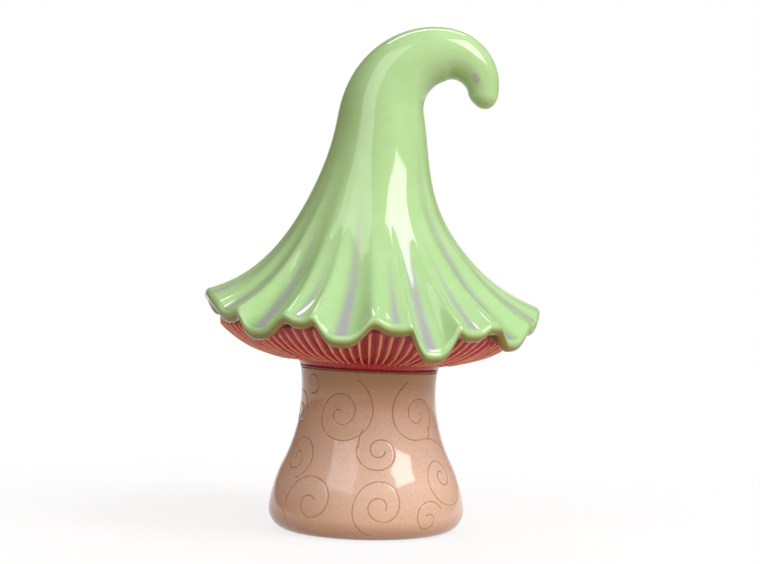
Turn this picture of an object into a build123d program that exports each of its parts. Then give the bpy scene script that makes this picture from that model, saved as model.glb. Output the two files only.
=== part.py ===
import os
from math import cos, exp, pi, radians, sin, sqrt

from build123d import *

os.makedirs("parts", exist_ok=True)

# All lengths are in millimetres and all angles in degrees.

# Stem: a hollow flared column that stands on a flat foot ring.
STEM_TOP = 63.5
STEM_STOCK = 2.0
STEM_WALL = 5.0
WAIST_R = 26.6
WAIST_Z = 55.0
WAIST_ARC = 64.0
FLARE_Z = 25.0
FOOT_R = 38.6
FOOT_Z = 9.0
FOOT_RING_R = 30.7
RECESS_R = 23.5
RECESS_DEPTH = 1.2
VENT_R = 5.0

# Neck: the spigot on the stem that centres the cap, and the slip beds of both joints.
NECK_R = 23.4
NECK_WALL = 3.6
NECK_H = 8.0
FIT = 0.4
BED = 0.6

# Cap frame: the cap sits a little crooked on the stem, leaning towards its hook.
CAP_LEAN = 1.5

# Gill bowl: a ribbed dish under the hood, with a collar for the neck and a flat rim that the hood lies on.
BOWL_WALL = 4.2
BOWL_ROOT_WALL = 5.5
BOWL_KNEE_IN = 1.3
BOWL_IN_R = 27.4
BOWL_BEND_R = 44.0
BOWL_BEND_Z = 6.8
BOWL_R = 57.0
BOWL_RIM_Z = 14.4
RIM_EDGE = 0.6
RIM_LAND = 3.5
COLLAR_WALL = 4.0
GILLS = 88
GILL_T = 1.1
GILL_H = 1.1
GILL_START = 0.3
GILL_ROOT = 1.0
GILL_END = 0.5

# Hood skirt: the flare of the outer face above its edge.
EDGE_Z = 26.0
RIM_WALL = 9.3
HORN_R = 13.0
EDGE_OUT = 6.8
FLARE_LEN = 28.7
FLICK_R = 3.8
FLICK_LEN = 3.2
FLARE_S = 3.2
EDGE_SAG = 4.0
SAG_LEN = 9.0
HOOD_WALL = 5.0
BELL_S = 66.0
BELL_MOUTH = 2.0
BELL_START = 6.5
BELL_EASE = 1.5
SET_BACK = 1.8

# Hood hem: each furrow of the skirt ends in a drooping lobe of the lip, and the lip lifts at both sides.
LOBES = 12
LOBE_PHASE = -8.8
NOTCH = 0.5
FLOOR_RISE = 0.5
LOBE_DROP = 8.2
LOBE_UNEVEN = 0.25
UNEVEN_WAVES = 3
UNEVEN_TURN = 27.0
FALL_LEN = 15.0
HEM_Z = 18.0
HEM_TILT = 0.6
SIDE_LIFT = 6.4
LIFT_POWER = 10
SIDE_CALM = 0.75
CALM_POWER = 6
FURROW = 2.4
FURROW_S = 72.0
FURROW_START = 12.0

# Hood lip: a thick roll that the skirt runs into at a slant.
LIP_S = 2.6
LIP_R = 2.5
LIP_OUT = 2.2
LIP_SLANT = 25
LIP_END = 215

# Hook: the horn rises straight, then curls over and down in two arcs.
BEND_Z = 101.2
HOOK_R1 = 25.2
HOOK_TURN1 = 88.0
HOOK_R2 = 16.6
HOOK_TURN2 = 80.0
HOOK_ROOT_R = 17.2
TIP_R = 6.0

# Rings of the hood's outer face: points in each, and how many there are along each stretch.
RING_POINTS = 144
TIP_STEP = 15
HORN_RINGS = 14
HORN_EASE = 1.35
SKIRT_RINGS = 18
SKIRT_EASE = 1.6
LIP_STEP = 19
THROAT_RINGS = 4
BELL_POINTS = 5

cap = Plane(
    origin=(0, 0, STEM_TOP),
    x_dir=(cos(radians(CAP_LEAN)), 0, -sin(radians(CAP_LEAN))),
    z_dir=(sin(radians(CAP_LEAN)), 0, cos(radians(CAP_LEAN))),
)
cap_section = Plane(origin=cap.origin, x_dir=cap.x_dir, z_dir=-cap.y_dir)
cap_axis = Axis(cap.origin, cap.z_dir)

# Stem: outer outline with a waist, a flare and a rounded foot, cut off aslant and hollowed from the top.
stock_z = STEM_TOP + STEM_STOCK
top_r = WAIST_R + WAIST_ARC - sqrt(WAIST_ARC**2 - (stock_z - WAIST_Z) ** 2)
flare_r = WAIST_R + WAIST_ARC - sqrt(WAIST_ARC**2 - (FLARE_Z - WAIST_Z) ** 2)

with BuildPart() as stem:
    with BuildSketch(Plane.XZ):
        with BuildLine():
            Line((0, 0), (FOOT_RING_R, 0))
            corner = TangentArc((FOOT_RING_R, 0), (FOOT_R, FOOT_Z), tangent=(1, 0))
            TangentArc((FOOT_R, FOOT_Z), (flare_r, FLARE_Z), tangent=corner % 1)
            ThreePointArc((flare_r, FLARE_Z), (WAIST_R, WAIST_Z), (top_r, stock_z))
            Polyline((top_r, stock_z), (0, stock_z), (0, 0))
        make_face()
    revolve(axis=Axis.Z)
    split(bisect_by=cap, keep=Keep.BOTTOM)
    offset(amount=-STEM_WALL, openings=stem.faces().sort_by(Axis.Z)[-1])
    with BuildSketch(cap.offset(-STEM_WALL)):
        Circle(NECK_R)
        Circle(NECK_R - NECK_WALL, mode=Mode.SUBTRACT)
    extrude(amount=STEM_WALL + NECK_H)
    with BuildSketch(Plane.XY):
        Circle(RECESS_R)
    extrude(amount=RECESS_DEPTH, mode=Mode.SUBTRACT)
    with BuildSketch(Plane.XY):
        Circle(VENT_R)
    extrude(amount=2 * STEM_WALL, mode=Mode.SUBTRACT)

# Neck slip: the bed between the shoulder of the stem and the gill bowl, a bulging bead at its edge.
collar_r = NECK_R + FIT
shoulder_r = WAIST_R + WAIST_ARC - sqrt(WAIST_ARC**2 - (STEM_TOP - WAIST_Z) ** 2)
bead_r = shoulder_r - BED / 2

with BuildPart() as neck_slip:
    with BuildSketch(cap_section):
        with BuildLine():
            Polyline((bead_r, BED), (collar_r, BED), (collar_r, 0), (bead_r, 0))
            ThreePointArc((bead_r, 0), (shoulder_r, BED / 2), (bead_r, BED))
        make_face()
    revolve(axis=cap_axis)

# Gill bowl: one revolved dish, then a thin curved rib for each gill.
seat_z = BOWL_RIM_Z + RIM_EDGE
land_r = BOWL_R - RIM_LAND
gill_r = BOWL_R - GILL_END

with BuildPart() as gill:
    with BuildSketch(cap_section):
        with BuildLine():
            Line((BOWL_IN_R - GILL_ROOT, BED + GILL_START), (BOWL_IN_R, BED + GILL_START))
            root = Line((BOWL_IN_R, BED + GILL_START), (BOWL_BEND_R, BOWL_BEND_Z - GILL_H))
            crest = TangentArc(root @ 1, (gill_r, BOWL_RIM_Z - GILL_END - GILL_H), tangent=root % 1)
            Polyline(
                crest @ 1,
                (gill_r, BOWL_RIM_Z),
                (BOWL_BEND_R, BOWL_BEND_Z + GILL_H),
                (BOWL_IN_R - GILL_ROOT, BED + 2 * GILL_H),
                (BOWL_IN_R - GILL_ROOT, BED + GILL_START),
            )
        make_face()
    extrude(amount=GILL_T / 2, both=True)

with BuildPart() as gill_bowl:
    with BuildSketch(cap_section):
        with BuildLine():
            Line((collar_r, BED), (BOWL_IN_R, BED))
            Line((BOWL_IN_R, BED), (BOWL_IN_R, BED + 2 * GILL_START))
            skin = Line((BOWL_IN_R, BED + 2 * GILL_START), (BOWL_BEND_R, BOWL_BEND_Z))
            TangentArc(skin @ 1, (BOWL_R, BOWL_RIM_Z), tangent=skin % 1)
            Polyline(
                (BOWL_R, BOWL_RIM_Z),
                (BOWL_R, seat_z),
                (land_r, seat_z),
                (BOWL_BEND_R - BOWL_KNEE_IN, BOWL_BEND_Z + BOWL_WALL),
                (collar_r + COLLAR_WALL, BED + BOWL_ROOT_WALL),
                (collar_r + COLLAR_WALL, NECK_H),
                (collar_r, NECK_H),
                (collar_r, BED),
            )
        make_face()
    revolve(axis=cap_axis)
    with Locations(cap.location):
        with PolarLocations(0, GILLS):
            add(gill.part.moved(cap.location.inverse()))

# Rim slip: the bed between the flat rim of the gill bowl and the underside of the hood.
with BuildPart() as rim_slip:
    with BuildSketch(cap.offset(seat_z)):
        Circle(BOWL_R)
        Circle(land_r, mode=Mode.SUBTRACT)
    extrude(amount=BED)

hood_z = seat_z + BED
edge_r = BOWL_R + RIM_WALL
skirt_r = edge_r - HORN_R - EDGE_OUT


# Hood: the outer face is lofted through closed rings, few of them flat, from the tip of the hook to the
# inside of the lip. Angles phi run from the front towards the side of the hook, heights s up from the edge.
# Each ring is two half splines that share their tangents at both sides, where the hem is calm.
def cap_radius(s):
    return HORN_R + skirt_r * exp(-(s - FLARE_S) / FLARE_LEN) + FLICK_R * exp(-(s - FLARE_S) / FLICK_LEN)


def cap_slope(s):
    flare = skirt_r / FLARE_LEN * exp(-(s - FLARE_S) / FLARE_LEN)
    return -flare - FLICK_R / FLICK_LEN * exp(-(s - FLARE_S) / FLICK_LEN)


def lobe(phi):
    wave = (cos(LOBES * (phi - radians(LOBE_PHASE))) + NOTCH) / (1 + NOTCH)
    return 1 - (1 - wave**2) ** 2


def furrow(phi):
    return lobe(phi) * (1 + FLOOR_RISE * (1 - cos(LOBES * (phi - radians(LOBE_PHASE)))))


def sway(phi, s):
    tilt = HEM_TILT * sin(phi) * cap_radius(s) / cap_radius(0)
    return -EDGE_SAG * cos(phi) ** 2 * exp(-s / SAG_LEN) - tilt


def hem(phi):
    uneven = 1 + LOBE_UNEVEN * cos(UNEVEN_WAVES * (phi - radians(UNEVEN_TURN)))
    calm = 1 - SIDE_CALM * sin(phi) ** CALM_POWER
    lift = SIDE_LIFT * sin(phi) ** LIFT_POWER - HEM_TILT * sin(phi)
    return HEM_Z + lift - LOBE_DROP * uneven * calm * lobe(phi)


# The edge follows the hem, and its rise and fall die away up the skirt.
def edge_fall(phi):
    lip_top = hem(phi) + LIP_R * (1 + cos(radians(LIP_SLANT)))
    return lip_top - (EDGE_Z + LIP_S + sway(phi, LIP_S))


def fade(s):
    return exp(-(s - LIP_S) / FALL_LEN) * (1 - s / (BEND_Z - EDGE_Z))


def furrow_depth(s):
    start = min(1, (s - LIP_S) / FURROW_START)
    return FURROW * start * max(0, 1 - s / FURROW_S) ** 2


def ring(radius, height, spot=Vector(0, 0, 0), lean=Vector(1, 0, 0)):
    points = []
    for k in range(RING_POINTS):
        phi = pi / 2 + 2 * pi * k / RING_POINTS
        side = lean * (radius(phi) * sin(phi))
        front = Vector(0, -radius(phi) * cos(phi), height(phi))
        points.append(cap.from_local_coords(spot + side + front))
    half = RING_POINTS // 2
    steps = [k / half for k in range(half + 1)]
    ends = [(points[k + 1] - points[k - 1]) * (half / 2) for k in (0, half)]
    rear = Edge.make_spline(points[: half + 1], tangents=ends, parameters=steps, scale=False)
    fore = Edge.make_spline(points[half:] + points[:1], tangents=ends[::-1], parameters=steps, scale=False)
    return Wire([rear, fore])


with BuildLine(Plane.XZ) as spine:
    rise = Line((0, EDGE_Z), (0, BEND_Z))
    curl = JernArc(rise @ 1, rise % 1, HOOK_R1, -HOOK_TURN1)
    fall = JernArc(curl @ 1, curl % 1, HOOK_R2, -HOOK_TURN2)

hook_length = curl.length + fall.length
tip_way = fall % 1
crook = Vector(tip_way.Z, 0, -tip_way.X)


def horn_ring(t):
    on_curl = t * hook_length <= curl.length
    leg = curl if on_curl else fall
    part = (t * hook_length - (0 if on_curl else curl.length)) / leg.length
    way = leg % part
    radius = HOOK_ROOT_R + (TIP_R - HOOK_ROOT_R) * t
    return ring(lambda phi: radius, lambda phi: 0, leg @ part, Vector(way.Z, 0, -way.X))


def skirt_ring(s):
    back = SET_BACK * sin(pi * s / (BEND_Z - EDGE_Z)) ** 2
    return ring(
        lambda phi: cap_radius(s) - furrow_depth(s) * furrow(phi),
        lambda phi: EDGE_Z + s + sway(phi, s) + edge_fall(phi) * fade(s),
        Vector(-back, 0, 0),
    )


def tip_ring(a):
    centre = fall @ 1 + tip_way * (TIP_R * cos(radians(a)))
    return ring(lambda phi: TIP_R * sin(radians(a)), lambda phi: 0, centre, crook)


lip_middle = cap_radius(LIP_S) - LIP_OUT * sin(radians(LIP_SLANT))


def lip_ring(a):
    return ring(
        lambda phi: lip_middle + LIP_OUT * sin(radians(a)),
        lambda phi: hem(phi) + LIP_R + LIP_R * cos(radians(a)),
    )


def throat_ring(t):
    lip_in = lip_middle + LIP_OUT * sin(radians(LIP_END))
    return ring(
        lambda phi: lip_in * (1 - t) + (BOWL_R + FIT) * t,
        lambda phi: (hem(phi) + LIP_R + LIP_R * cos(radians(LIP_END))) * (1 - t) + hood_z * t,
    )


tip_rings = [tip_ring(a) for a in range(TIP_STEP, 90, TIP_STEP)]
horn_rings = [horn_ring(1 - (k / HORN_RINGS) ** HORN_EASE) for k in range(HORN_RINGS + 1)]
skirt_s = BEND_Z - EDGE_Z - LIP_S
skirt_rings = [
    skirt_ring(LIP_S + skirt_s * (1 - k / SKIRT_RINGS) ** SKIRT_EASE) for k in range(1, SKIRT_RINGS + 1)
]
lip_rings = [lip_ring(a) for a in range(LIP_SLANT + LIP_STEP, LIP_END + 1, LIP_STEP)]
throat_rings = [throat_ring(k / THROAT_RINGS) for k in range(1, THROAT_RINGS + 1)]
tip_point = Vertex(cap.from_local_coords(fall @ 1 + tip_way * TIP_R))
hood_rings = tip_rings + horn_rings + skirt_rings + lip_rings + throat_rings
shell = Solid.make_loft([tip_point] + hood_rings)

# The bell inside the hood is round, and keeps one wall thickness from the deepest furrow.
deepest = min(edge_fall(2 * pi * k / RING_POINTS) for k in range(RING_POINTS))


def bell_point(s):
    inset = HOOD_WALL / sqrt(1 + cap_slope(s) ** 2)
    sag = EDGE_SAG * exp(-s / SAG_LEN) + HEM_TILT - deepest * fade(s)
    return (cap_radius(s) - furrow_depth(s) - inset, EDGE_Z + s - sag + cap_slope(s) * inset)


bell_s = BELL_S - BELL_START
bell = [bell_point(BELL_START + bell_s * (k / BELL_POINTS) ** BELL_EASE) for k in range(BELL_POINTS + 1)]

with BuildPart() as hood:
    add(shell)
    with BuildSketch(cap_section):
        with BuildLine():
            side = Spline(*bell)
            Polyline(
                side @ 1,
                (0, (side @ 1).Y + (side @ 1).X),
                (0, hood_z - BELL_MOUTH),
                (land_r, hood_z - BELL_MOUTH),
                (land_r, hood_z),
                side @ 0,
            )
        make_face()
    revolve(axis=cap_axis, mode=Mode.SUBTRACT)

pieces = {"hood": hood, "gill_bowl": gill_bowl, "stem": stem, "neck_slip": neck_slip, "rim_slip": rim_slip}
for name, piece in pieces.items():
    piece.part.label = name
    export_step(piece.part, f"parts/{name}.step")
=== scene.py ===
from collections import namedtuple
from math import atan2, cos, degrees, exp, pi, radians, sin, sqrt, tan

import bpy
import numpy as np
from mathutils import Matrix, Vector, kdtree


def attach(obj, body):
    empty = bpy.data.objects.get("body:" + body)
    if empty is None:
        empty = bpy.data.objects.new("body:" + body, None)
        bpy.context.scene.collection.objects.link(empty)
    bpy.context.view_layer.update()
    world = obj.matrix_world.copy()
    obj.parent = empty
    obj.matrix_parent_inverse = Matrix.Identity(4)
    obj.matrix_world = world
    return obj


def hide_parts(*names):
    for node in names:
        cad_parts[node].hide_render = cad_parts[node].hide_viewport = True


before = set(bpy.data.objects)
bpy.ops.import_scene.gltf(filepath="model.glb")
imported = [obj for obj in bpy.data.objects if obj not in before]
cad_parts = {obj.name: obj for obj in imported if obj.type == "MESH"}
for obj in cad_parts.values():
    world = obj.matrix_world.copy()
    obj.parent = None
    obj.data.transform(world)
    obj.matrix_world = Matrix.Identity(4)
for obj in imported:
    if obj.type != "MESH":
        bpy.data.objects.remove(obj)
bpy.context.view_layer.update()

# Sizes are in millimetres, and become metres where a mesh is made. Angles round the part go from the front
# towards the hook, in degrees where they are written and in radians where rings are made.
MM = 0.001
MERGE_M = 0.000004

# Stem. FIT is the neck's clearance in the collar of the gill bowl, and BED the thickness of the slip.
STEM_TOP = 63.5
STEM_WALL = 5.0
WAIST_R, WAIST_Z, WAIST_ARC = 26.6, 55.0, 64.0
FLARE_Z = 25.0
FOOT_R, FOOT_Z = 38.6, 9.0
FOOT_RING_R = 30.7
RECESS_R, RECESS_DEPTH = 23.5, 1.2
VENT_R = 5.0
NECK_R, NECK_WALL, NECK_H = 23.4, 3.6, 8.0
FIT, BED = 0.4, 0.6
# Above SLANT_Z the stem leans more and more, to meet the cap.
SLANT_Z = 40.0

# Cap frame: the hood and the gill bowl lean a little towards the hook.
LEAN = radians(1.5)

# Gill bowl: a dish that bends up to its rim and arches a little round the neck.
BOWL_IN_R = 27.4
BOWL_BEND_R, BOWL_BEND_Z = 44.0, 6.8
BOWL_RIM_Z = 16.0
DISH_R, RIM_WALL, RIM_TOP_Z = 58.5, 4.0, 25.0
RIM_FLOOR_Z = 18.5
FLOOR_BEND_R, FLOOR_BEND_Z = 42.7, 11.0
COLLAR_WALL, COLLAR_FOOT_Z = 4.0, 6.1
ARCH_H, ARCH_START, ARCH_LEN = 3.4, 1.2, 7
SEAT_GAP = 0.7
# The hairline between a bed of slip and the piece above it. The bulge of the joint fills it.
HAIRLINE = 0.05

# Hood. A height above its edge is called s.
EDGE_Z = 26.0
HORN_R, SKIRT_R, FLARE_LEN = 13.0, 46.5, 28.7
FLICK_R, FLICK_LEN, FLARE_S = 3.8, 3.2, 3.2
HOOD_WALL = 5.0
SET_BACK = 1.8
LIP_R, LIP_OUT, LIP_TUCK = 2.5, 2.2, 0.15
LIP_START = radians(25)
EDGE_S, FALL_LEN = 2.6, 12.5
HEM_Z, HEM_TILT, HEM_LIFT = 17.2, 0.6, 6.4
EDGE_SAG, SAG_LEN = 4.0, 9.0
BELL_S = (4.2, 5, 6, 7.5, 9, 11, 14, 18, 25, 34, 44, 55, 64)
BELL_TOP_S = 74
# The bend of the hook sets in gradually, over about BEND_RAMP.
BEND_RAMP = 5.0
HOOK_Z = 101.2
BEND_Z = HOOK_Z - BEND_RAMP
SKIRT_TOP_S = BEND_Z - EDGE_Z
HOOK_R1, HOOK_TURN1 = 24.8, radians(88)
HOOK_R2, HOOK_TURN2 = 15.0, radians(91)
HOOK_ROOT_R, TIP_R = 17.9, 6.0
ROOT_TAPER = 0.88

# Folds of the hood: the angle, the half-widths of the lobe on either side, its droop, the depth of the
# furrow, the height at which the furrow fades and the height of its brush mark.
Fold = namedtuple("Fold", "angle left right droop depth fade brush")
FOLDS = (
    Fold(-157, 10, 10, 7.5, 2.4, 72, 48),
    Fold(-142, 6, 6, 1.4, 1.7, 42, 24),
    Fold(-127, 10, 10, 6.0, 2.2, 72, 46),
    Fold(-112, 6, 6, 1.2, 1.7, 42, 26),
    Fold(-98, 10, 9, 1.2, 2.0, 72, 46),
    Fold(-84, 5, 5, 0.4, 1.2, 42, 20),
    Fold(-71, 6, 6, 0.3, 1.8, 50, 22),
    Fold(-55.5, 7, 6, 1.3, 2.2, 58, 34),
    Fold(-39.5, 9.5, 11, 6.6, 2.5, 74, 48),
    Fold(-23, 5, 4.5, 1.5, 1.5, 44, 24),
    Fold(-9.4, 9.5, 10.5, 7.4, 1.7, 76, 60),
    Fold(8.6, 7, 7, 2.2, 0.7, 44, 28),
    Fold(20.6, 8.4, 10.4, 11.4, 1.3, 76, 78),
    Fold(35, 7, 8, 3.0, 1.0, 58, 44),
    Fold(53.3, 6.4, 13, 6.2, 3.0, 80, 95),
    Fold(72.5, 6, 6, 0.8, 1.8, 62, 34),
    Fold(85, 6, 6, 0.4, 1.4, 50, 24),
    Fold(98, 8, 9, 1.2, 2.0, 66, 30),
    Fold(113, 6, 6, 1.2, 1.7, 42, 24),
    Fold(128, 10, 10, 6.0, 2.2, 72, 46),
    Fold(143, 6, 6, 1.4, 1.7, 42, 24),
    Fold(158, 10, 10, 7.5, 2.4, 72, 50),
    Fold(173, 6, 6, 1.4, 1.7, 42, 26),
    Fold(188, 10, 10, 6.2, 2.2, 72, 52),
)


def smooth(t):
    """t held within 0 and 1, eased at both ends."""
    t = np.clip(t, 0.0, 1.0)
    return t * t * (3 - 2 * t)


def wrap(angle):
    """An angle in degrees, brought within half a turn of nought."""
    return (np.asarray(angle) + 180.0) % 360.0 - 180.0


def from_cap(x, y, z):
    """Points of the cap frame in the frame of the part, in metres."""
    across = x * cos(LEAN) + z * sin(LEAN)
    up = STEM_TOP - x * sin(LEAN) + z * cos(LEAN)
    return np.stack([across, y, up], axis=-1) * MM


def cap_ring(turn, radius, height, x=0.0):
    """A ring round the cap's axis, or round a line that lies x beside it."""
    return from_cap(x + radius * np.sin(turn), -radius * np.cos(turn), height + 0 * turn)


# Modelling: a grid is added, its points are moved to their place, and the seams are merged.
def pick(obj):
    """Make one object the selected and active one."""
    bpy.ops.object.select_all(action="DESELECT")
    bpy.context.view_layer.objects.active = obj
    obj.select_set(True)


def sheet(name, columns, rows):
    """A flat grid, to be bent into a piece."""
    bpy.ops.object.select_all(action="DESELECT")
    bpy.ops.mesh.primitive_grid_add(x_subdivisions=columns, y_subdivisions=rows, size=1, calc_uvs=True)
    obj = bpy.context.object
    obj.name = name
    obj.data.name = name
    return obj


def points_of(obj):
    flat = np.empty(len(obj.data.vertices) * 3)
    obj.data.vertices.foreach_get("co", flat)
    return flat.reshape(-1, 3)


def move_points(obj, where):
    """Put the points of a mesh where they belong, in metres."""
    obj.data.vertices.foreach_set("co", np.ascontiguousarray(where).ravel())
    obj.data.update()


def paint(obj, name, values):
    """Store one number for each point, for the finishes to read."""
    mark = obj.data.attributes.new(name, "FLOAT", "POINT")
    mark.data.foreach_set("value", np.ascontiguousarray(values, dtype=np.float32))


def close_up(obj):
    """Merge the seams, so that the mesh is closed, and shade it smooth."""
    pick(obj)
    bpy.ops.object.mode_set(mode="EDIT")
    bpy.ops.mesh.select_all(action="SELECT")
    bpy.ops.mesh.remove_doubles(threshold=MERGE_M)
    bpy.ops.mesh.normals_make_consistent(inside=False)
    bpy.ops.object.mode_set(mode="OBJECT")
    bpy.ops.object.shade_smooth()


def thrown(name, columns, rows):
    """A closed form from rows of rings: each row is (points, marks), with one point for each column."""
    obj = sheet(name, columns, len(rows) - 1)
    spot = points_of(obj)
    i = np.rint((spot[:, 0] + 0.5) * columns).astype(int)
    j = np.rint((spot[:, 1] + 0.5) * (len(rows) - 1)).astype(int)
    table = np.stack([ring for ring, marks in rows])
    move_points(obj, table[j, i])
    for mark in rows[0][1]:
        paint(obj, mark, np.stack([marks[mark] for ring, marks in rows])[j, i])
    close_up(obj)
    return obj


# Hood.
HOOD_COLUMNS = 432
phi = np.linspace(-pi, pi, HOOD_COLUMNS + 1)
phi_deg = np.degrees(phi)


def cap_radius(s):
    """Radius of the plain skirt at a height above the edge."""
    return HORN_R + SKIRT_R * exp(-(s - FLARE_S) / FLARE_LEN) + FLICK_R * exp(-(s - FLARE_S) / FLICK_LEN)


def cap_slope(s):
    """How fast that radius changes with the height."""
    flare = SKIRT_R / FLARE_LEN * exp(-(s - FLARE_S) / FLARE_LEN)
    return -flare - FLICK_R / FLICK_LEN * exp(-(s - FLARE_S) / FLICK_LEN)


def sway(s):
    """How far the skirt sags in front and behind, and tilts from side to side."""
    sag = -EDGE_SAG * np.cos(phi) ** 2 * exp(-s / SAG_LEN)
    return sag - HEM_TILT * np.sin(phi) * cap_radius(s) / cap_radius(0)


# A lobe is squarer than a plain bump, and where two meet, the deeper one takes over.
LOBE_SQUARE, LOBE_SHARE = 3, 3
# A tall brush mark lies in a broad furrow. The exponents round a furrow's bed and fade it upwards.
TALL_BRUSH = 45
BROAD_FURROW, NARROW_FURROW = 11.0, 8.8
FURROW_ROUND, FURROW_FADE = 2.4, 2.6


def droop():
    """How far the lip falls with the lobes, for each column."""
    total = 0.0
    for fold in FOLDS:
        off = wrap(phi_deg - fold.angle)
        t = np.abs(off) / np.where(off < 0, fold.left, fold.right)
        total = total + (fold.droop * np.clip(1 - t**LOBE_SQUARE, 0, 1) ** 2) ** LOBE_SHARE
    return total ** (1 / LOBE_SHARE)


def furrows(s):
    """Depth of the furrows at a height above the edge."""
    total = 0.0
    for fold in FOLDS:
        t = wrap(phi_deg - fold.angle) / (BROAD_FURROW if fold.brush > TALL_BRUSH else NARROW_FURROW)
        deep = fold.depth * max(0.0, 1 - s / fold.fade) ** FURROW_FADE
        total = total + deep * np.clip(1 - t**2, 0, 1) ** FURROW_ROUND
    return total


# Brush marks: the half-width at the top and what the edge adds, how they thin out, fade and waver.
MARK_TOP_W, BROAD_MARK, NARROW_MARK = 0.8, 1.9, 1.1
MARK_TAPER, MARK_FADE = 1.4, 0.8
MARK_WAVER, WAVER_PACE = 0.8, 0.09
SHORT_COVER, HIGH_COVER, COVER_LEN = 0.85, 0.76, 6


def brush_marks(s):
    """How much of the grey brush marks covers the glaze at a height above the edge."""
    total = 0.0
    cover = HIGH_COVER + (1 - HIGH_COVER) * exp((EDGE_S - s) / COVER_LEN)
    for fold in FOLDS:
        tall = fold.brush > TALL_BRUSH
        up = max(0.0, s - EDGE_S) / fold.brush
        width = MARK_TOP_W + (BROAD_MARK if tall else NARROW_MARK) * max(0.0, 1 - up) ** MARK_TAPER
        waver = MARK_WAVER * sin(WAVER_PACE * s + fold.angle)
        across = np.radians(wrap(phi_deg - fold.angle + waver)) * cap_radius(s)
        fade = (1 if tall else SHORT_COVER) * (1 - float(smooth(up)) ** MARK_FADE) * cover
        total = np.maximum(total, fade * np.exp(-((across / width) ** 2)))
    return total


# The lip lifts at either side: the way round, then the angles where the lift starts, is full, ends and is
# gone.
LIFTS = ((-1, 55, 77, 90, 108), (1, 66, 87, 92, 110))


def side_lift():
    """How much of the lift of the sides there is, for each column."""
    total = 0.0
    for way, start, full, end, gone in LIFTS:
        rise = smooth((way * phi_deg - start) / (full - start))
        total = total + rise * (1 - smooth((way * phi_deg - end) / (gone - end)))
    return total


hem_line = HEM_Z + HEM_LIFT * side_lift() - HEM_TILT * np.sin(phi) - droop()


def marks(streak=0.0, furrow=0.0, rim=0.0, spot=0.0):
    """The marks that the hood's finish reads, for each column."""
    blank = np.zeros_like(phi)
    return {"streak": blank + streak, "furrow": blank + furrow, "rim": blank + rim, "spot": blank + spot}


# Hook: a line of two arcs, with rings across it.
HOOK_STEPS = 1200
first_arc = HOOK_R1 * HOOK_TURN1 + BEND_RAMP
hook_length = first_arc + HOOK_R2 * HOOK_TURN2
along = np.linspace(0.0, hook_length + TIP_R, HOOK_STEPS)
bend = np.where(along < first_arc, (1 - np.exp(-along / BEND_RAMP)) / HOOK_R1, 1 / HOOK_R2)


def running(values):
    """The integral of values along the hook."""
    return np.concatenate([[0.0], np.cumsum((values[1:] + values[:-1]) / 2 * np.diff(along))])


hook_turn = running(bend)
hook_x = running(np.sin(hook_turn))
hook_z = BEND_Z + running(np.cos(hook_turn))


def hook_ring(length, radius, mark):
    """A row of the hood: a ring across the hook, a way along its line."""
    x, z, a = [float(np.interp(length, along, values)) for values in (hook_x, hook_z, hook_turn)]
    side = radius * np.sin(phi)
    return from_cap(x + side * cos(a), -radius * np.cos(phi), z - side * sin(a)), mark


TIP_ROWS, HOOK_ROWS = 11, 60
# The grey spot near the tip: its place and length as shares of the hook, its angle and its width.
SPOT_AT, SPOT_LEN, SPOT_ANGLE, SPOT_W = 0.91, 0.042, 20, 13
# Painted shade: the inner side of the bend is darker green.
CROOK_SHADE, CROOK_ANGLE, CROOK_W = 0.85, 90, 42
rows = []
for k in range(TIP_ROWS):
    a = pi / 2 * k / TIP_ROWS
    rows.append(hook_ring(hook_length + TIP_R * cos(a), TIP_R * sin(a), marks()))
for k in range(HOOK_ROWS, 0, -1):
    t = k / HOOK_ROWS
    spot = np.exp(-(((t - SPOT_AT) / SPOT_LEN) ** 2) - (wrap(phi_deg - SPOT_ANGLE) / SPOT_W) ** 2)
    crook_shade = CROOK_SHADE * sin(pi * t) * np.exp(-((wrap(phi_deg - CROOK_ANGLE) / CROOK_W) ** 2))
    taper = (TIP_R - HOOK_ROOT_R) * (ROOT_TAPER * t + (1 - ROOT_TAPER) * t**2)
    rows.append(hook_ring(hook_length * t, HOOK_ROOT_R + taper, marks(furrow=crook_shade, spot=spot)))

# Skirt: the furrows set in above the edge, and the edge falls with each lobe and lifts between them. Above
# JOIN_S the skirt's radius goes over into the hook's.
SKIRT_ROWS, ROW_CROWD = 110, 1.5
FURROW_START, FULL_FURROW = 12, 3
JOIN_S = 30
lip_middle = cap_radius(EDGE_S) - LIP_OUT * sin(LIP_START)
lip_top = hem_line + LIP_R + LIP_R * cos(LIP_START)
edge_fall = lip_top - (EDGE_Z + EDGE_S + sway(EDGE_S))


def skirt_height(s):
    """Heights of the skirt's rows: near the edge they follow the lip."""
    fall = edge_fall * exp(-(s - EDGE_S) / FALL_LEN) * (1 - s / SKIRT_TOP_S)
    return EDGE_Z + s + sway(s) + fall


for k in range(SKIRT_ROWS + 1):
    s = EDGE_S + (SKIRT_TOP_S - EDGE_S) * (1 - k / SKIRT_ROWS) ** ROW_CROWD
    back = SET_BACK * sin(pi * s / SKIRT_TOP_S) ** 2
    deep = furrows(s) * float(smooth((s - EDGE_S) / FURROW_START))
    joined = float(smooth((s - JOIN_S) / (SKIRT_TOP_S - JOIN_S))) * (HOOK_ROOT_R - cap_radius(SKIRT_TOP_S))
    ring = cap_ring(phi, cap_radius(s) + joined - deep, skirt_height(s), -back)
    rows.append((ring, marks(streak=brush_marks(s), furrow=furrows(s) / FULL_FURROW)))
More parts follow.
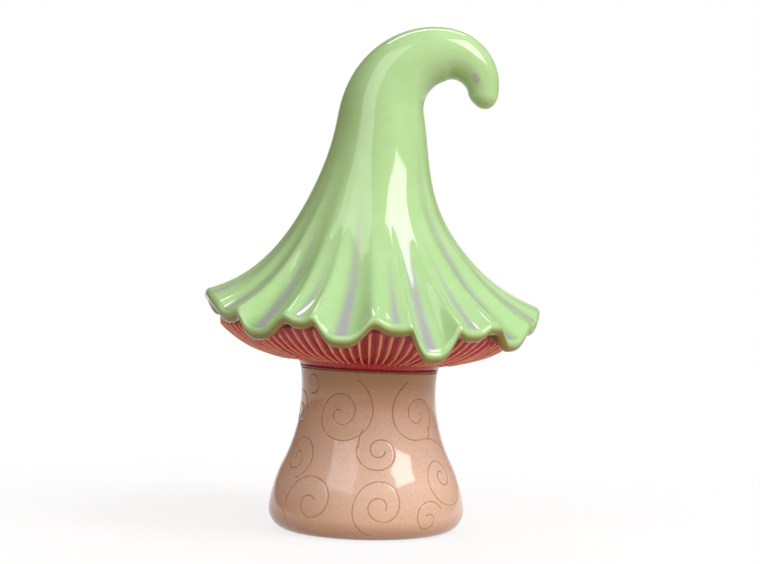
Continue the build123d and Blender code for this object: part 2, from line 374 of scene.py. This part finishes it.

# Lip: it rolls under, and the rim mark runs from the front of the roll to its lowest line; it carries the
# painted shade and painted warm reflection under the lip, and the ochre line where the glaze breaks. The
# brush marks end within MARK_END.
LIP_ROWS = 18
RIM_FROM, RIM_TO = 60, 180
MARK_END = 22
INSIDE_RIM = 1.2
for k in range(1, LIP_ROWS + 1):
    a = LIP_START + (pi - LIP_START) * k / LIP_ROWS
    rim = (degrees(a) - RIM_FROM) / (RIM_TO - RIM_FROM)
    end = 1 - float(smooth(degrees(a - LIP_START) / MARK_END))
    ring = cap_ring(phi, lip_middle + LIP_OUT * sin(a), hem_line + LIP_R + LIP_R * cos(a))
    rows.append((ring, marks(brush_marks(EDGE_S) * end, furrows(EDGE_S) / FULL_FURROW * end, rim)))
lip_in = lip_middle - LIP_OUT
# The inside of the hood is all in painted olive shade.
inside_marks = marks(rim=INSIDE_RIM)
rows.append((cap_ring(phi, (lip_middle + lip_in) / 2, hem_line + LIP_TUCK * LIP_R), inside_marks))
rows.append((cap_ring(phi, lip_in, hem_line + LIP_R), inside_marks))


def under_hood(s):
    """Radius and heights of the underside of the wall, below the skirt at a height above the edge."""
    inset = HOOD_WALL / sqrt(1 + cap_slope(s) ** 2)
    return cap_radius(s) - inset, skirt_height(s) + cap_slope(s) * inset


for s in BELL_S:
    rows.append((cap_ring(phi, *under_hood(s)), inside_marks))
rows.append((cap_ring(phi, 0.0, EDGE_Z + BELL_TOP_S), inside_marks))
hood = thrown("hood_shell", HOOD_COLUMNS, rows)

# Gill bowl: the ribs set in a little way out from the joint and fade just below the hood.
GILLS, GILL_STEPS, GILL_H = 88, 10, 1.5
RIB_START, RIB_RAMP, RIB_ROOF = 1.5, 5.0, 4
RIB_LOW, RIB_UNEVEN, RIB_SHARP = 0.75, 0.4, 2.2
FADED_RIB = 0.25
BAND_START, BAND_W = 0.2, 2.2
LOWER_ROWS, LOWER_CROWD, UPPER_ROWS, WALL_ROWS = 19, 1.1, 18, 9
ROOF_LOW_S, ROOF_HIGH_S, ROOF_HALVINGS = 0.5, 60.0, 30
turn = np.linspace(-pi, pi, GILLS * GILL_STEPS + 1)


def chance(k):
    """A steady number between 0 and 1 for each rib."""
    pace, start, spread = 12.9898, 4.1, 43758.5453
    return np.modf(np.abs(np.sin(k * pace + start) * spread))[0]


def bowl_line():
    """Outline of the dish's underside from the joint to the rim, as (radius, height)."""
    foot_z = BED + HAIRLINE
    dx, dz = BOWL_BEND_R - BOWL_IN_R, BOWL_BEND_Z - foot_z
    slope = dz / dx
    line = []
    for k in range(LOWER_ROWS + 1):
        t = (k / LOWER_ROWS) ** LOWER_CROWD
        line.append((BOWL_IN_R + dx * t, foot_z + dz * t))
    dx, dz = DISH_R - BOWL_BEND_R, BOWL_RIM_Z - BOWL_BEND_Z
    rise = slope * dx
    for k in range(1, UPPER_ROWS + 1):
        t = k / UPPER_ROWS
        line.append((BOWL_BEND_R + dx * t, BOWL_BEND_Z + rise * t + (dz - rise) * t**2))
    return line + [(DISH_R, BOWL_RIM_Z + k) for k in range(1, WALL_ROWS + 1)]


def roof_over(radius):
    """Heights of the hood's underside at a radius, for each column of the dish."""
    low, high = ROOF_LOW_S, ROOF_HIGH_S
    for halving in range(ROOF_HALVINGS):
        middle = (low + high) / 2
        low, high = (middle, high) if under_hood(middle)[0] > radius else (low, middle)
    return np.interp(turn, phi, under_hood(low)[1])


rib_number = np.rint((turn + pi) / (2 * pi) * GILLS) % GILLS
rib_tall = RIB_LOW + RIB_UNEVEN * chance(rib_number)
crest = (0.5 + 0.5 * np.cos(turn * GILLS)) ** RIB_SHARP
blank = np.zeros_like(turn)
collar_in, collar_out = NECK_R + FIT, NECK_R + FIT + COLLAR_WALL
rim_in = DISH_R - RIM_WALL
rows = [(cap_ring(turn, collar_in, BED), {"rib": blank, "band": blank + 1})]
line = bowl_line()
for k, (radius, height) in enumerate(line):
    before, after = line[max(k - 1, 0)], line[min(k + 1, len(line) - 1)]
    tilt = atan2(after[1] - before[1], after[0] - before[0])
    out = radius - BOWL_IN_R
    height = height + ARCH_H * (1 - exp(-out / ARCH_START)) * exp(-out / ARCH_LEN)
    roof = roof_over(radius) - SEAT_GAP
    fade = float(smooth((out - RIB_START) / RIB_RAMP)) * smooth((roof - height) / RIB_ROOF)
    high = GILL_H * fade * rib_tall * crest
    band = 1 - float(smooth((out - BAND_START) / BAND_W))
    ring = cap_ring(turn, radius + sin(tilt) * high, np.minimum(height, roof) - cos(tilt) * high)
    rows.append((ring, {"rib": crest * (FADED_RIB + (1 - FADED_RIB) * fade), "band": blank + band}))
for radius, height in (
    (DISH_R, RIM_TOP_Z + HEM_LIFT),
    (rim_in, RIM_TOP_Z + HEM_LIFT),
    (rim_in, RIM_FLOOR_Z),
    (FLOOR_BEND_R, FLOOR_BEND_Z),
    (collar_out, COLLAR_FOOT_Z),
    (collar_out, NECK_H),
    (collar_in, NECK_H),
    (collar_in, BED),
):
    level = np.minimum(height, roof_over(radius) - SEAT_GAP)
    rows.append((cap_ring(turn, radius, level), {"rib": blank, "band": blank}))
gills = thrown("gill_dish", GILLS * GILL_STEPS, rows)

# Rim bed: the hidden slip between the rim of the dish and the underside of the hood.
rows = []
for radius, drop in (
    (DISH_R, HAIRLINE + BED),
    (DISH_R, HAIRLINE),
    (rim_in, HAIRLINE),
    (rim_in, HAIRLINE + BED),
    (DISH_R, HAIRLINE + BED),
):
    rows.append((cap_ring(turn, radius, roof_over(radius) - drop), {}))
rim_bed = thrown("rim_bed", GILLS * GILL_STEPS, rows)


def waist_r(z):
    """Radius of the stem on the arc of its waist."""
    return WAIST_R + WAIST_ARC - sqrt(WAIST_ARC**2 - (z - WAIST_Z) ** 2)


# Joint line: the slip squeezed out between the stem and the gill bowl, in a bulge that two waves make uneven.
JOINT_COLUMNS, JOINT_ROWS = 240, 12
JOINT_INSET, JOINT_BULGE = 0.1, 0.42
SLOW_WAVES, SLOW_WAVE = 7, 0.06
FAST_WAVES, FAST_WAVE = 17, 0.05
shoulder_r = waist_r(STEM_TOP)
joint_turn = np.linspace(-pi, pi, JOINT_COLUMNS + 1)
bulge = JOINT_BULGE + SLOW_WAVE * np.sin(SLOW_WAVES * joint_turn + 1)
bulge = bulge + FAST_WAVE * np.sin(FAST_WAVES * joint_turn)
rows = []
for k in range(JOINT_ROWS + 1):
    a = -pi / 2 + pi * k / JOINT_ROWS
    radius = shoulder_r - JOINT_INSET + bulge * cos(a)
    rows.append((cap_ring(joint_turn, radius, BED / 2 + (BED / 2 + HAIRLINE) * sin(a)), {}))
rows.append((cap_ring(joint_turn, collar_in, BED), {}))
rows.append((cap_ring(joint_turn, collar_in, 0.0), {}))
rows.append(rows[0])
joint = thrown("joint_line", JOINT_COLUMNS, rows)


# Stem.
def arc_points(a, b, heading, count):
    """Points of the arc that leaves a along a heading and ends at b, and the heading there."""
    nx, nz = -heading[1], heading[0]
    dx, dz = b[0] - a[0], b[1] - a[1]
    radius = (dx * dx + dz * dz) / (2 * (dx * nx + dz * nz))
    cx, cz = a[0] + nx * radius, a[1] + nz * radius
    start, end = [atan2(p[1] - cz, p[0] - cx) for p in (a, b)]
    if radius > 0 and end < start:
        end += 2 * pi
    if radius < 0 and end > start:
        end -= 2 * pi
    angles = [start + (end - start) * k / count for k in range(1, count + 1)]
    last = angles[-1] + (pi / 2 if end > start else -pi / 2)
    points = [(cx + abs(radius) * cos(q), cz + abs(radius) * sin(q)) for q in angles]
    return points, (cos(last), sin(last))


FOOT_STEPS, BELLY_STEPS, WAIST_STEPS = 16, 18, 40
flare_r = waist_r(FLARE_Z)
foot, heading = arc_points((FOOT_RING_R, 0.0), (FOOT_R, FOOT_Z), (1.0, 0.0), FOOT_STEPS)
belly, heading = arc_points((FOOT_R, FOOT_Z), (flare_r, FLARE_Z), heading, BELLY_STEPS)
waist = [(waist_r(z), z) for z in np.linspace(FLARE_Z, STEM_TOP, WAIST_STEPS + 1)[1:]]
skin_r, skin_z = np.array([(FOOT_RING_R, 0.0)] + foot + belly + waist).T
skin_run = np.concatenate([[0.0], np.cumsum(np.hypot(np.diff(skin_r), np.diff(skin_z)))])


def stem_ring(angle, r, z):
    """Points round the stem, at angles in radians."""
    aslant = smooth((z - SLANT_Z) / (STEM_TOP - SLANT_Z)) * r * np.sin(angle) * tan(LEAN)
    return np.stack([r * np.sin(angle), -r * np.cos(angle), z - aslant], axis=-1)


def stem_face(angle, run):
    """Points on the stem's face: run is the way along its outline from the foot ring."""
    return stem_ring(angle, np.interp(run, skin_run, skin_r), np.interp(run, skin_run, skin_z))


def run_at(z):
    """The way along the stem's outline to a height."""
    return float(np.interp(z, skin_z, skin_run))


# Scrolls: the centre's angle and height, the turning way, the starting angle, and the radius at each quarter
# turn.
SCROLLS = (
    (-24, 47.0, 1, 60, (1.3, 2.1, 3.0, 5.3, 8.0, 7.2, 8.8, 12.0, 15.4)),
    (45.5, 47.0, -1, 40, (1.9, 2.2, 4.0, 5.6, 7.2, 8.4)),
    (8.3, 33.9, -1, -10, (2.7, 2.7, 3.1, 4.1, 6.3, 8.0, 8.2)),
    (-57, 30.0, -1, 200, (1.6, 2.0, 1.9, 5.0, 5.6, 7.4, 8.4, 9.4)),
    (-34.5, 12.9, 1, 45, (2.8, 4.2, 3.8, 5.2, 9.8, 12.0, 14.6)),
    (8.3, 12.9, 1, -20, (2.0, 3.4, 4.6, 4.6, 6.6, 10.2, 10.0, 12.0)),
    (57, 23.6, 1, 60, (1.5, 2.6, 3.2, 4.2, 5.4, 7.4, 10.4, 13.6, 17.0)),
    (38.5, 7.8, -1, 120, (2.0, 2.8, 2.6, 4.6, 6.2, 8.4)),
    (-53.5, 57.4, -1, 170, (1.9, 4.1, 3.4, 3.3)),
    (-74, 47.4, 1, 30, (2.2, 2.6, 3.6, 5.0, 6.8, 7.6)),
)
# Arms join the scrolls on either face: points as angle and height.
ARMS = (
    ((36, 61.0), (23, 55), (19.4, 47), (25, 40), (38, 36.9), (54, 38.2), (66, 36), (78, 32.5)),
    ((-6.1, 34.8), (-6.1, 37.0), (-5.4, 39.5), (-3.6, 41.6)),
    ((57.6, 42.0), (57, 40.0), (55, 38.2), (52.5, 37.2)),
)
QUARTER_STEPS, SCROLL_SOFT = 60, 20
ARM_STEPS, ARM_SOFT = 400, 30
# The scoring stops short of the foot ring and of the joint.
SCORE_FOOT, SCORE_TOP = 1.0, 0.4


def soften(values, reach):
    """A running mean that reaches so many values either way."""
    window = np.ones(2 * reach + 1) / (2 * reach + 1)
    return np.convolve(np.pad(values, reach, mode="edge"), window, mode="valid")


def scroll_line(angle, height, way, start, radii):
    """Points along a scroll, as angle in radians and run on the stem's face."""
    run = run_at(height)
    r = float(np.interp(run, skin_run, skin_r))
    quarter = np.linspace(0, len(radii) - 1, QUARTER_STEPS * len(radii))
    size = soften(np.interp(quarter, np.arange(len(radii)), radii), SCROLL_SOFT)
    a = radians(start) + way * quarter * pi / 2
    return np.stack([radians(angle) + size * np.cos(a) / r, run + size * np.sin(a)], axis=-1)


def arm_line(arm, front):
    """Points along an arm, as angle in radians and run on the stem's face."""
    knots = np.array([(a if front else 180 - a, run_at(z)) for a, z in arm])
    t = np.linspace(0, len(knots) - 1, ARM_STEPS)
    angle, run = [soften(np.interp(t, np.arange(len(knots)), knots[:, k]), ARM_SOFT) for k in (0, 1)]
    return np.stack([np.radians(angle), run], axis=-1)


lines = [scroll_line(*scroll) for scroll in SCROLLS]
for angle, height, way, start, radii in SCROLLS:
    lines.append(scroll_line(180 - angle, height, -way, 180 - start, radii))
for arm in ARMS:
    lines.append(arm_line(arm, True))
    lines.append(arm_line(arm, False))
scored = np.concatenate(lines)
scored = scored[(scored[:, 1] > SCORE_FOOT) & (scored[:, 1] < skin_run[-1] - SCORE_TOP)]
near = kdtree.KDTree(len(scored))
for k, spot in enumerate(stem_face(scored[:, 0], scored[:, 1])):
    near.insert(spot, k)
near.balance()

# The way from the top of the stem's face over the neck, down the hollow and round the base.
inside = [
    (shoulder_r, STEM_TOP),
    (NECK_R, STEM_TOP),
    (NECK_R, STEM_TOP + NECK_H),
    (NECK_R - NECK_WALL, STEM_TOP + NECK_H),
    (NECK_R - NECK_WALL, STEM_TOP - STEM_WALL),
    (WAIST_R - STEM_WALL, WAIST_Z),
    (flare_r - STEM_WALL, FLARE_Z),
    (FOOT_R - STEM_WALL, FOOT_Z),
    (FOOT_RING_R, STEM_WALL),
    (VENT_R, STEM_WALL),
    (VENT_R, RECESS_DEPTH),
    (RECESS_R, RECESS_DEPTH),
    (RECESS_R, 0.0),
    (FOOT_RING_R, 0.0),
]
STEM_COLUMNS, SKIN_ROWS = 200, 76
ROW_SLACK = 0.01
# No line is scored across the seam of the sheet.
SEAM, SEAM_CLEAR = 92.0, 4
FAR = 9.0
GROOVE_REACHES = (1.3, 0.75)
GROOVE_W, GROOVE_DEPTH = 0.27, 0.16
SLOPE_STEP, TINY = 0.05, 1e-9
stem_rows = SKIN_ROWS + len(inside)
stem = sheet("stem_column", STEM_COLUMNS, stem_rows)


def stem_places(obj):
    """Angle, run along the skin and the row of each point of the flat sheet."""
    flat = points_of(obj)
    angle = (flat[:, 0] + 0.5) * 2 * pi + radians(SEAM)
    row = (flat[:, 1] + 0.5) * stem_rows
    return angle, np.clip(row / SKIN_ROWS, 0, 1) * skin_run[-1], row


def line_distance(obj):
    """Distance of each point from the nearest scored line."""
    angle, run, row = stem_places(obj)
    away = np.array([near.find(p)[2] for p in stem_face(angle, run)])
    by_seam = np.abs(wrap(np.degrees(angle) - SEAM)) < SEAM_CLEAR
    return np.where((row > SKIN_ROWS - ROW_SLACK) | by_seam, FAR, away)


# The sheet is divided twice along the lines before its points are moved.
for reach in GROOVE_REACHES:
    close = line_distance(stem) < reach
    pick(stem)
    bpy.ops.object.mode_set(mode="EDIT")
    bpy.ops.mesh.select_mode(type="FACE")
    bpy.ops.mesh.select_all(action="DESELECT")
    bpy.ops.object.mode_set(mode="OBJECT")
    picked = [any(close[v] for v in face.vertices) for face in stem.data.polygons]
    stem.data.polygons.foreach_set("select", picked)
    bpy.ops.object.mode_set(mode="EDIT")
    bpy.ops.mesh.subdivide(number_cuts=1)
    bpy.ops.object.mode_set(mode="OBJECT")

angle, run, row = stem_places(stem)
groove = np.exp(-((line_distance(stem) / GROOVE_W) ** 2))
upward = stem_face(angle, run + SLOPE_STEP) - stem_face(angle, run - SLOPE_STEP)
around = np.stack([np.cos(angle), np.sin(angle), 0 * angle], axis=-1)
outward = np.cross(around, upward)
outward /= np.linalg.norm(outward, axis=1, keepdims=True) + TINY
face = stem_face(angle, run) - outward * (GROOVE_DEPTH * groove)[:, None]
loop = np.array([(skin_r[-1], skin_z[-1])] + inside)
back_r, back_z = [np.interp(row - SKIN_ROWS, np.arange(len(loop)), loop[:, k]) for k in (0, 1)]
inner = row > SKIN_ROWS + ROW_SLACK
move_points(stem, np.where(inner[:, None], stem_ring(angle, back_r, back_z), face) * MM)
paint(stem, "groove", np.where(inner, 0, groove))
close_up(stem)


# Materials.
class Value:
    """A socket of a node tree, with the arithmetic that the finishes need."""

    def __init__(self, tree, socket):
        self.tree = tree
        self.socket = socket

    def worked(self, operation, first, second):
        return self.tree.node("ShaderNodeMath", {"operation": operation}, {0: first, 1: second})

    def __add__(self, other):
        return self.worked("ADD", self, other)

    def __radd__(self, other):
        return self.worked("ADD", other, self)

    def __sub__(self, other):
        return self.worked("SUBTRACT", self, other)

    def __rsub__(self, other):
        return self.worked("SUBTRACT", other, self)

    def __mul__(self, other):
        return self.worked("MULTIPLY", self, other)

    def __rmul__(self, other):
        return self.worked("MULTIPLY", other, self)

    def ease(self, low, high):
        """0 below low, 1 above high and smooth between."""
        window = {0: self, 1: low, 2: high, 3: 0.0, 4: 1.0}
        return self.tree.node("ShaderNodeMapRange", {"interpolation_type": "SMOOTHSTEP"}, window)

    def between(self, low, high):
        """low where this is 0, high where it is 1."""
        return low + (high - low) * self

    def above(self, level, gain):
        """What is over a level, times a gain."""
        return (self - level) * gain


class Finish:
    """The node tree of a material or the world."""

    def __init__(self, tree):
        self.tree = tree
        tree.nodes.clear()

    def node(self, kind, settings=None, sockets=None, output=0):
        made = self.tree.nodes.new(kind)
        for key, value in (settings or {}).items():
            setattr(made, key, value)
        for key, value in (sockets or {}).items():
            if isinstance(value, Value):
                self.tree.links.new(value.socket, made.inputs[key])
            else:
                made.inputs[key].default_value = value
        return Value(self, made.outputs[output]) if made.outputs else None

    def mark(self, name):
        """A number that was painted on the points."""
        return self.node("ShaderNodeAttribute", {"attribute_name": name}, output="Fac")

    def place(self, kind="Object"):
        return self.node("ShaderNodeTexCoord", output=kind)

    def axis(self, where, letter):
        return self.node("ShaderNodeSeparateXYZ", {}, {0: where}, output=letter)

    def ray(self, kind):
        return self.node("ShaderNodeLightPath", output="Is " + kind + " Ray")

    def noise(self, scale, detail, where=None):
        sockets = {"Vector": where or self.place(), "Scale": scale, "Detail": detail}
        return self.node("ShaderNodeTexNoise", {}, sockets)

    def streaks(self, x, y, z, kind="UV"):
        """Noise with its own scale along each axis."""
        where = self.node("ShaderNodeMapping", {}, {"Vector": self.place(kind), "Scale": (x, y, z)})
        return self.noise(scale=1.0, detail=3.0, where=where)

    def blend(self, share, first, second):
        """The first colour with a share of the second over it."""
        sockets = {0: share}
        for key, colour in ((6, first), (7, second)):
            sockets[key] = (*colour, 1.0) if isinstance(colour, tuple) else colour
        return self.node("ShaderNodeMix", {"data_type": "RGBA", "clamp_factor": True}, sockets, output=2)

    def diffuse(self, colour):
        return self.node("ShaderNodeBsdfDiffuse", {}, {"Color": (*colour, 1.0)})

    def mix(self, share, first, second):
        return self.node("ShaderNodeMixShader", {}, {0: share, 1: first, 2: second})

    def glaze(self, colour, roughness, height, strength, distance, gloss=0.5):
        """The surface of a fired piece, with a bump from height."""
        bump = {"Strength": strength, "Distance": distance, "Height": height}
        sockets = {"Base Color": colour, "Roughness": roughness, "Specular IOR Level": gloss}
        sockets["Normal"] = self.node("ShaderNodeBump", {}, bump)
        shader = self.node("ShaderNodeBsdfPrincipled", {}, sockets)
        self.node("ShaderNodeOutputMaterial", {}, {"Surface": shader})


def finish(name):
    """A new material and its empty node tree."""
    material = bpy.data.materials.new(name)
    material.use_nodes = True
    return material, Finish(material.node_tree)


# Hood: green glaze that pools in the furrows, grey brush marks, painted shade in the crook of the hook, and
# painted olive shade under the lip and inside, with a broken ochre line.
GREEN = (0.362, 0.575, 0.272)
DEEP_GREEN = (0.235, 0.42, 0.14)
PALE_GREEN = (0.41, 0.615, 0.33)
GREY_LILAC = (0.34, 0.315, 0.39)
SHADE_OLIVE = (0.20, 0.175, 0.008)
OCHRE = (0.36, 0.20, 0.03)
POOL_AND_SHADE_COVER, BRUSH_COVER, SPOT_COVER, SHADE_OLIVE_COVER, OCHRE_COVER = 0.75, 0.95, 0.7, 0.92, 0.75
BRISTLE_BASE, BRISTLE_LONG, BRISTLE_FINE = 0.4, 0.5, 0.7
GRAIN_SHARE = 0.06
green_glaze, f = finish("green_glaze")
mottle = f.noise(scale=140.0, detail=3.0)
grain = f.noise(scale=2200.0, detail=1.0)
# The furrow mark: glaze pooled in the furrows, and painted shade in the crook of the hook.
pooled_and_shaded = f.mark("furrow").ease(0.15, 1.0)
colour = f.blend(pooled_and_shaded * POOL_AND_SHADE_COVER, GREEN, DEEP_GREEN)
colour = f.blend(mottle.above(level=0.42, gain=1.6), colour, PALE_GREEN)
bristle = BRISTLE_BASE + BRISTLE_LONG * f.streaks(260.0, 14.0, 1.0)
bristle = bristle + BRISTLE_FINE * f.noise(scale=900.0, detail=2.0)
streak = (f.mark("streak") * bristle).ease(0.02, 1.08)
spot = f.mark("spot").ease(0.25, 0.65)
colour = f.blend(streak * BRUSH_COVER, colour, GREY_LILAC)
colour = f.blend(spot * SPOT_COVER, colour, GREY_LILAC)
rim = f.mark("rim")
# Painted shade and painted warm reflection: olive under the lip and inside the hood.
colour = f.blend(rim.ease(0.06, 0.46) * SHADE_OLIVE_COVER, colour, SHADE_OLIVE)
broken = f.noise(scale=260.0, detail=2.0).ease(0.25, 0.6)
edge = rim.ease(0.55, 0.70) * (1 - rim.ease(0.85, 0.98)) * broken
colour = f.blend(edge * OCHRE_COVER, colour, OCHRE)
f.glaze(colour, mottle.between(0.05, 0.10), mottle + GRAIN_SHARE * grain, strength=0.05, distance=0.0006)

# Gills: crimson glaze, thin on the crests of the ribs and deep between them, where the dark is partly pooled
# glaze and partly painted shade.
CRIMSON = (0.56, 0.045, 0.068)
DEEP_AND_SHADED_CRIMSON = (0.28, 0.010, 0.020)
PALE_CREST = (0.90, 0.50, 0.40)
CREST_COVER, BAND_COVER = 0.85, 0.6
crimson_glaze, f = finish("crimson_glaze")
mottle = f.noise(scale=160.0, detail=3.0)
rib = f.mark("rib")
thin = f.streaks(420.0, 26.0, 1.0)
# Between the ribs: partly pooled glaze, partly painted shade in the creases.
colour = f.blend(rib.ease(0.0, 0.25) + (mottle - 0.5), DEEP_AND_SHADED_CRIMSON, CRIMSON)
worn_crest = (rib * thin.between(0.6, 1.3)).ease(0.42, 0.92)
colour = f.blend(worn_crest * CREST_COVER, colour, PALE_CREST)
colour = f.blend(f.mark("band") * BAND_COVER, colour, CRIMSON)
f.glaze(colour, mottle.between(0.10, 0.16), mottle, strength=0.05, distance=0.0005, gloss=0.3)

# Stem: buff glaze in faint bands, with specks and scored lines. It is darker under the cap and warmer at the
# foot, partly the glaze's own tone and partly painted shade.
BUFF = (0.69, 0.485, 0.38)
PALE_BUFF = (0.75, 0.56, 0.475)
BROWN_AND_SHADE_BUFF = (0.40, 0.245, 0.09)
WARM_AND_SHADE_BUFF = (0.58, 0.37, 0.24)
SPECK = (0.30, 0.17, 0.10)
SCORED_BROWN = (0.39, 0.16, 0.06)
TOP_SHADE_COVER, FOOT_SHADE_COVER, SPECK_COVER = 0.8, 0.6, 0.32
TOP_FROM_M, TOP_TO_M = 0.047, 0.061
FOOT_FROM_M, FOOT_TO_M = 0.003, 0.022
buff_glaze, f = finish("buff_glaze")
mottle = f.noise(scale=90.0, detail=3.0)
bands = f.streaks(6.0, 6.0, 420.0, "Object")
specks = f.noise(scale=1900.0, detail=1.0).ease(0.52, 0.74)
colour = f.blend(bands.above(level=0.3, gain=1.1), BUFF, PALE_BUFF)
colour = f.blend(mottle.above(level=0.4, gain=0.8), colour, PALE_BUFF)
height = f.axis(f.place(), "Z")
# Painted shade of the cap, with some of the glaze's own brown: darker just under the cap.
colour = f.blend(height.ease(TOP_FROM_M, TOP_TO_M) * TOP_SHADE_COVER, colour, BROWN_AND_SHADE_BUFF)
# Partly the glaze's warmer tone and partly painted shade: warmer and darker towards the foot.
colour = f.blend((1 - height.ease(FOOT_FROM_M, FOOT_TO_M)) * FOOT_SHADE_COVER, colour, WARM_AND_SHADE_BUFF)
colour = f.blend(specks * SPECK_COVER, colour, SPECK)
worn = f.noise(scale=350.0, detail=2.0).ease(0.20, 0.55)
colour = f.blend(f.mark("groove").ease(0.20, 0.85) * worn.between(0.35, 0.90), colour, SCORED_BROWN)
f.glaze(colour, mottle.between(0.07, 0.12), mottle, strength=0.05, distance=0.0006)

# The slip of the joint took crimson glaze, and the hidden bed is bare clay.
DARK_SLIP, RED_SLIP = (0.16, 0.018, 0.012), (0.28, 0.04, 0.025)
dark_slip, f = finish("dark_slip")
mottle = f.noise(scale=500.0, detail=2.0)
colour = f.blend(mottle, DARK_SLIP, RED_SLIP)
f.glaze(colour, mottle.between(0.12, 0.22), mottle, strength=0.1, distance=0.0003)

CLAY, PALE_CLAY = (0.50, 0.36, 0.27), (0.62, 0.47, 0.37)
bare_slip, f = finish("bare_slip")
mottle = f.noise(scale=300.0, detail=4.0)
colour = f.blend(mottle, CLAY, PALE_CLAY)
f.glaze(colour, mottle.between(0.75, 0.90), mottle, strength=0.3, distance=0.0004)

for piece, material, node, slot in (
    (hood, green_glaze, "hood", "green_glaze"),
    (gills, crimson_glaze, "gill_bowl", "crimson_glaze"),
    (stem, buff_glaze, "stem", "buff_glaze"),
    (joint, dark_slip, "neck_slip", "dark_slip"),
    (rim_bed, bare_slip, "rim_slip", "bare_slip"),
):
    piece.data.materials.append(material)
    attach(piece, "root")
    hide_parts(node)

# Floor: white to the camera and in reflections, with a soft shadow. It throws a warm light on the object.
FLOOR_SIZE_M = 12.0
WHITE, PAPER, BOARD = (1.0, 1.0, 1.0), (0.80, 0.80, 0.80), (0.53, 0.38, 0.26)
bpy.ops.object.select_all(action="DESELECT")
bpy.ops.mesh.primitive_plane_add(size=FLOOR_SIZE_M, location=(0, 0, 0))
floor = bpy.context.object
floor.name = "floor"
white_floor, f = finish("white_floor")
seen = f.ray("Camera") + f.ray("Glossy") + f.ray("Transmission")
glow = f.node("ShaderNodeEmission", {}, {"Color": (*WHITE, 1.0), "Strength": 1.0})
spread = f.node("ShaderNodeVectorMath", {"operation": "LENGTH"}, {0: f.place()}, output="Value")
lit = f.mix(spread.ease(0.05, 0.30).between(0.80, 1.0), f.diffuse(PAPER), glow)
f.node("ShaderNodeOutputMaterial", {}, {"Surface": f.mix(seen, f.diffuse(BOARD), lit)})
floor.data.materials.append(white_floor)

# Studio: white to the camera and behind the object, and a dim warm room in front of it.
ROOM = (0.15, 0.105, 0.065)
world = bpy.data.worlds.new("studio")
bpy.context.scene.world = world
world.use_nodes = True
f = Finish(world.node_tree)
behind = f.axis(f.place("Generated"), "Y").ease(0.85, 1.0)
seen = f.ray("Camera") + f.ray("Transmission") + f.ray("Glossy") * behind
shader = f.node("ShaderNodeBackground", {}, {"Color": f.blend(seen, ROOM, WHITE), "Strength": 1.0})
f.node("ShaderNodeOutputWorld", {}, {"Surface": shader})

AIM = Vector((0.0, 0.0, 0.11))


def softbox(name, azimuth, elevation, distance, size, power):
    """A rectangular lamp, by its angle from the front towards the hook and its height above the horizon."""
    lamp = bpy.data.lights.new(name, "AREA")
    lamp.shape = "RECTANGLE"
    lamp.size, lamp.size_y = size
    lamp.energy = power
    obj = bpy.data.objects.new(name, lamp)
    bpy.context.scene.collection.objects.link(obj)
    a, e = radians(azimuth), radians(elevation)
    way = Vector((sin(a) * cos(e), -cos(a) * cos(e), sin(e)))
    obj.location = AIM + way * distance
    obj.rotation_euler = way.to_track_quat("Z", "Y").to_euler()
    return obj


softbox("right_softbox", azimuth=56, elevation=43, distance=1.1, size=(0.52, 0.70), power=10.0)
softbox("left_softbox", azimuth=-36, elevation=43, distance=1.1, size=(0.68, 0.86), power=4.7)
softbox("top_strip", azimuth=180, elevation=62, distance=1.1, size=(0.9, 0.12), power=2.6)
front_fill = softbox("front_fill", azimuth=34, elevation=24, distance=1.5, size=(1.2, 0.9), power=8.8)
back_fill = softbox("back_fill", azimuth=195, elevation=28, distance=1.5, size=(1.2, 0.9), power=5.5)
for lamp in (front_fill, back_fill):
    lamp.visible_glossy = False

# Camera: level, at mid height, and rolled a little as the photograph is.
SENSOR_MM, LENS_MM = 36.0, 78.73
CAMERA_AT_M = (0.00354, -0.660, 0.0978)
CAMERA_ROLL = radians(-1.3)
lens = bpy.data.cameras.new("camera")
lens.sensor_width = SENSOR_MM
lens.lens = LENS_MM
camera = bpy.data.objects.new("camera", lens)
camera.location = CAMERA_AT_M
camera.rotation_euler = (radians(90), CAMERA_ROLL, 0)
bpy.context.scene.collection.objects.link(camera)
bpy.context.scene.camera = camera
bpy.context.scene.view_settings.view_transform = "Standard"
